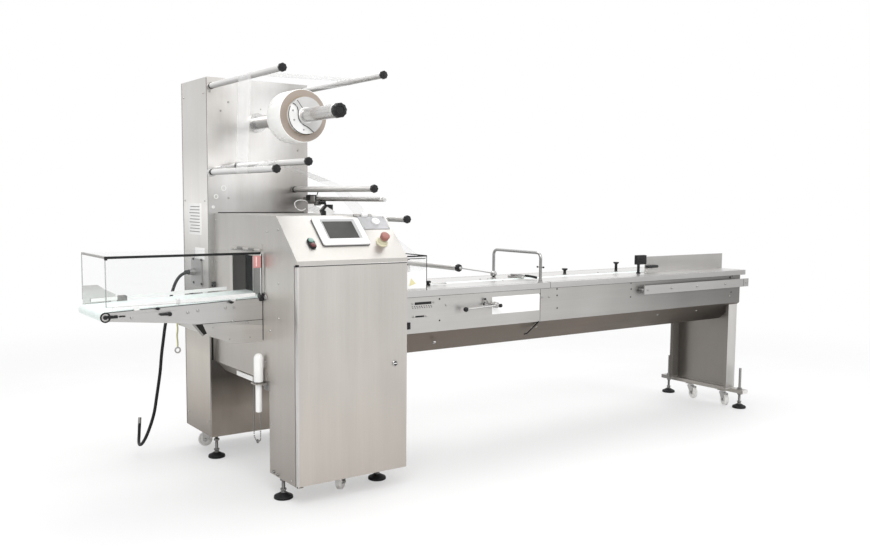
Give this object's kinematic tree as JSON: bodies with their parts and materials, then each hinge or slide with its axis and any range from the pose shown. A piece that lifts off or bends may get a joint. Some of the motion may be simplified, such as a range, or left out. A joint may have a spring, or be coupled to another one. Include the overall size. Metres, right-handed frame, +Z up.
{
  "type": "horizontal flow wrapper",
  "caption": "Horizontal flow wrapper: long infeed conveyor, cantilevered film unwind with idler rollers, sealing housing with a sloping control panel, and a guarded discharge conveyor.",
  "frame": {"origin": "on the floor under the middle of the overall box", "axes": "+X towards the infeed end, +Y from the operator side to the rear column, +Z up"},
  "size_m": [3.765, 1.2075, 1.812],
  "materials": {
    "stainless": "vertical brushed grain",
    "bright_steel": "fine ground",
    "caster_steel": "zinc plated",
    "caster_tread": "translucent white",
    "roller_tube": "satin anodised",
    "black_plastic": "moulded",
    "white_plastic": "smooth",
    "screen": "dark glass",
    "red_plastic": "smooth",
    "film": "clear film",
    "film_roll": "wound film",
    "belt": "smooth belt",
    "clear_guard": "clear sheet",
    "cable_black": "smooth jacket",
    "earth_green": "yellow-green jacket"
  },
  "bodies": {
    "frame": {"black_knobs": "black_plastic", "cabinet_shell": "stainless", "cable_gland": "bright_steel", "caster_plates": "bright_steel", "column_housing": "stainless", "conveyor_plates": "bright_steel", "discharge_belt": "belt", "earth_ring": "bright_steel", "earth_wire": "earth_green", "film_web": "film", "former_guard": "clear_guard", "forming_box": "bright_steel", "guide_fence": "bright_steel", "guide_rails": "white_plastic", "hold_down_hoop": "bright_steel", "housing_cover": "stainless", "infeed_belt": "belt", "infeed_chassis": "stainless", "infeed_deck": "bright_steel", "infeed_rails": "bright_steel", "leg_frame": "stainless", "levelling_feet": "black_plastic", "mounting_plate": "stainless", "panel_buttons": "black_plastic", "panel_plate": "bright_steel", "photo_sensor": "black_plastic", "power_cable": "cable_black", "pull_handle": "white_plastic", "reject_tray": "stainless", "roller_brackets": "bright_steel", "roller_shafts": "bright_steel", "sealing_base": "stainless", "side_bar": "bright_steel", "side_walls": "stainless", "touchscreen_frame": "white_plastic", "touchscreen_glass": "screen"},
    "door": {"cabinet_door": "stainless"},
    "guard": {"discharge_guard": "clear_guard"},
    "stop_button": {"emergency_button": "red_plastic"},
    "unwind": {"unwind_shaft": "bright_steel", "shaft_knob": "black_plastic", "core_chuck": "bright_steel", "film_reel": "film_roll"},
    "idler_1": {"roller_1_upper_right": "roller_tube"},
    "idler_2": {"roller_2_upper_left": "roller_tube"},
    "idler_3": {"roller_3_dancer_left": "roller_tube"},
    "idler_4": {"roller_4_dancer_right": "roller_tube"},
    "idler_5": {"roller_5_lower": "roller_tube"},
    "idler_6": {"roller_6_bracket": "roller_tube"},
    "idler_7": {"roller_7_former": "roller_tube"},
    "swivel_1": {"caster_fork_1": "caster_steel"},
    "wheel_1": {"caster_wheel_1": "caster_tread"},
    "swivel_2": {"caster_fork_2": "caster_steel"},
    "wheel_2": {"caster_wheel_2": "caster_tread"},
    "swivel_3": {"caster_fork_3": "caster_steel"},
    "wheel_3": {"caster_wheel_3": "caster_tread"},
    "swivel_4": {"caster_fork_4": "caster_steel"},
    "wheel_4": {"caster_wheel_4": "caster_tread"},
    "crank": {"crank_lever": "black_plastic"}
  },
  "joints": [
    {"name": "door_hinge", "type": "hinge", "parent": "frame", "child": "door", "pos_m": [-1.1985, -0.585, 0.54], "axis": [0, 0, -1], "range_deg": [0, 110]},
    {"name": "guard_hinge", "type": "hinge", "parent": "frame", "child": "guard", "pos_m": [-1.2185, -0.11, 1.035], "axis": [0, 1, 0], "range_deg": [0, 75]},
    {"name": "stop_push", "type": "slide", "parent": "frame", "child": "stop_button", "axis": [0, 0.6893, -0.7245], "range_m": [0, 0.004], "stiffness_N_per_m": 400},
    {"name": "unwind_spin", "type": "hinge", "parent": "frame", "child": "unwind", "pos_m": [-0.9885, -0.225, 1.613], "axis": [0, -1, 0], "continuous": true},
    {"name": "idler_1_spin", "type": "hinge", "parent": "frame", "child": "idler_1", "pos_m": [-0.7465, -0.1215, 1.78], "axis": [0, -1, 0], "continuous": true},
    {"name": "idler_2_spin", "type": "hinge", "parent": "frame", "child": "idler_2", "pos_m": [-1.2185, -0.1215, 1.77], "axis": [0, -1, 0], "continuous": true},
    {"name": "idler_3_spin", "type": "hinge", "parent": "frame", "child": "idler_3", "pos_m": [-1.2355, -0.132, 1.37201], "axis": [0, -1, 0], "continuous": true},
    {"name": "idler_4_spin", "type": "hinge", "parent": "frame", "child": "idler_4", "pos_m": [-1.1105, -0.1495, 1.40401], "axis": [0, -1, 0], "continuous": true},
    {"name": "idler_5_spin", "type": "hinge", "parent": "frame", "child": "idler_5", "pos_m": [-0.7925, -0.1215, 1.29798], "axis": [0, -1, 0], "continuous": true},
    {"name": "idler_6_spin", "type": "hinge", "parent": "frame", "child": "idler_6", "pos_m": [-0.6225, -0.1215, 1.166], "axis": [0, -1, 0], "continuous": true},
    {"name": "idler_7_spin", "type": "hinge", "parent": "frame", "child": "idler_7", "pos_m": [-0.3295, -0.2745, 0.94], "axis": [0, -1, 0], "continuous": true},
    {"name": "caster_1_swivel", "type": "hinge", "parent": "frame", "child": "swivel_1", "pos_m": [-0.9205, -0.445, 0.08], "axis": [0, 0, 1], "continuous": true},
    {"name": "caster_1_roll", "type": "hinge", "parent": "swivel_1", "child": "wheel_1", "pos_m": [-0.94195, -0.463, 0.038], "axis": [0.6428, -0.766, 0], "continuous": true},
    {"name": "caster_2_swivel", "type": "hinge", "parent": "frame", "child": "swivel_2", "pos_m": [-1.1455, 0.503, 0.08], "axis": [0, 0, 1], "continuous": true},
    {"name": "caster_2_roll", "type": "hinge", "parent": "swivel_2", "child": "wheel_2", "pos_m": [-1.16975, 0.517, 0.038], "axis": [-0.5, -0.866, 0], "continuous": true},
    {"name": "caster_3_swivel", "type": "hinge", "parent": "frame", "child": "swivel_3", "pos_m": [1.8265, -0.359, 0.08], "axis": [0, 0, 1], "continuous": true},
    {"name": "caster_3_roll", "type": "hinge", "parent": "swivel_3", "child": "wheel_3", "pos_m": [1.81335, -0.38372, 0.038], "axis": [0.8829, -0.4695, 0], "continuous": true},
    {"name": "caster_4_swivel", "type": "hinge", "parent": "frame", "child": "swivel_4", "pos_m": [1.8265, -0.115, 0.08], "axis": [0, 0, 1], "continuous": true},
    {"name": "caster_4_roll", "type": "hinge", "parent": "swivel_4", "child": "wheel_4", "pos_m": [1.81692, -0.14131, 0.038], "axis": [0.9397, -0.342, 0], "continuous": true},
    {"name": "crank_turn", "type": "hinge", "parent": "frame", "child": "crank", "pos_m": [-0.0735, -0.475, 0.752], "axis": [0, -1, 0], "continuous": true}
  ]
}
